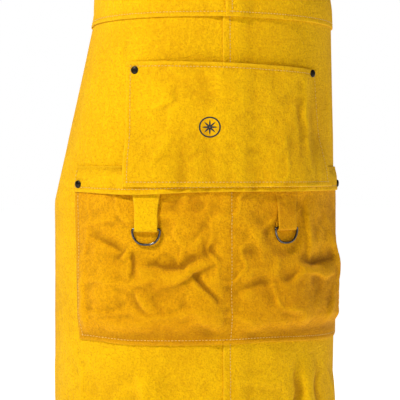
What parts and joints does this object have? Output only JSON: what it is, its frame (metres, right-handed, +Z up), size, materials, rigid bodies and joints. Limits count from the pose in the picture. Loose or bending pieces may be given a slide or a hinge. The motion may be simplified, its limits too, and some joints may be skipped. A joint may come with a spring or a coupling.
{
  "type": "welding apron",
  "caption": "Split leather welding apron with a bib, belly pocket, flapped lower pocket, tool rings on tabs, neck strap and buckled waist strap, in its worn shape.",
  "frame": {"origin": "top edge of the neck strap at the nape, where the strap rests on the wearer", "axes": "+Z up, front of the apron towards -Y, +X to the viewer's right as the apron's front is looked at"},
  "size_m": [0.3834, 0.2626, 1.2574],
  "materials": {
    "yellow_leather": "yellow dyed split cowhide, suede both sides",
    "orange_leather": "yellow-orange dyed split cowhide, suede, more wrinkled",
    "rivet_steel": "dark oxidised steel",
    "steel": "nickel plated steel wire and sheet",
    "black_plastic": "moulded acetal"
  },
  "bodies": {
    "apron": {"skirt_left": "yellow_leather", "skirt_right": "yellow_leather", "bib_left": "yellow_leather", "bib_right": "yellow_leather", "pocket_flap": "yellow_leather", "belly_pocket": "yellow_leather", "tool_tab_left": "yellow_leather", "tool_tab_right": "yellow_leather", "neck_tab": "yellow_leather", "neck_strap": "yellow_leather", "waist_strap_left": "yellow_leather", "waist_strap_right": "yellow_leather", "lower_pocket": "orange_leather", "rivet_belly_left": "rivet_steel", "rivet_belly_right": "rivet_steel", "rivet_flap_left": "rivet_steel", "rivet_flap_right": "rivet_steel", "rivet_waist_left": "rivet_steel", "rivet_waist_right": "rivet_steel", "rivet_neck_left": "rivet_steel", "rivet_neck_right": "rivet_steel", "burr_belly_left": "rivet_steel", "burr_belly_right": "rivet_steel", "burr_flap_left": "rivet_steel", "burr_flap_right": "rivet_steel", "burr_waist_left": "rivet_steel", "burr_waist_right": "rivet_steel", "burr_neck_left": "rivet_steel", "burr_neck_right": "rivet_steel", "neck_ring": "steel", "buckle_socket": "black_plastic", "buckle_plug": "black_plastic"},
    "d_ring_left": {"d_ring_left": "steel"},
    "d_ring_right": {"d_ring_right": "steel"},
    "neck_slide": {"neck_slide": "steel"},
    "waist_slide": {"waist_slide": "steel"},
    "prong_upper": {"buckle_prong_upper": "black_plastic"},
    "prong_lower": {"buckle_prong_lower": "black_plastic"}
  },
  "joints": [
    {"name": "d_ring_left_swing", "type": "hinge", "parent": "apron", "child": "d_ring_left", "pos_m": [-0.09998, -0.19496, -0.754], "axis": [-0.927, 0.3751, 0], "range_deg": [-4, 150]},
    {"name": "d_ring_right_swing", "type": "hinge", "parent": "apron", "child": "d_ring_right", "pos_m": [0.08241, -0.20128, -0.754], "axis": [-0.9534, -0.3018, 0], "range_deg": [-4, 150]},
    {"name": "neck_slide_travel", "type": "slide", "parent": "apron", "child": "neck_slide", "axis": [0.2431, 0.2939, 0.9244], "range_m": [-0.028, 0.024]},
    {"name": "waist_slide_travel", "type": "slide", "parent": "apron", "child": "waist_slide", "axis": [1, 0, 0], "range_m": [-0.028, 0.024]},
    {"name": "prong_upper_squeeze", "type": "hinge", "parent": "apron", "child": "prong_upper", "pos_m": [0, 0.0287, -0.44805], "axis": [0, -1, 0], "range_deg": [0, 14], "stiffness_Nm_per_rad": 0.3},
    {"name": "prong_lower_squeeze", "type": "hinge", "parent": "apron", "child": "prong_lower", "pos_m": [0, 0.0287, -0.46395], "axis": [0, 1, 0], "range_deg": [0, 14], "stiffness_Nm_per_rad": 0.3}
  ],
  "couplings": [
    {"joint": "prong_lower_squeeze", "follows": "prong_upper_squeeze", "ratio": 1}
  ]
}
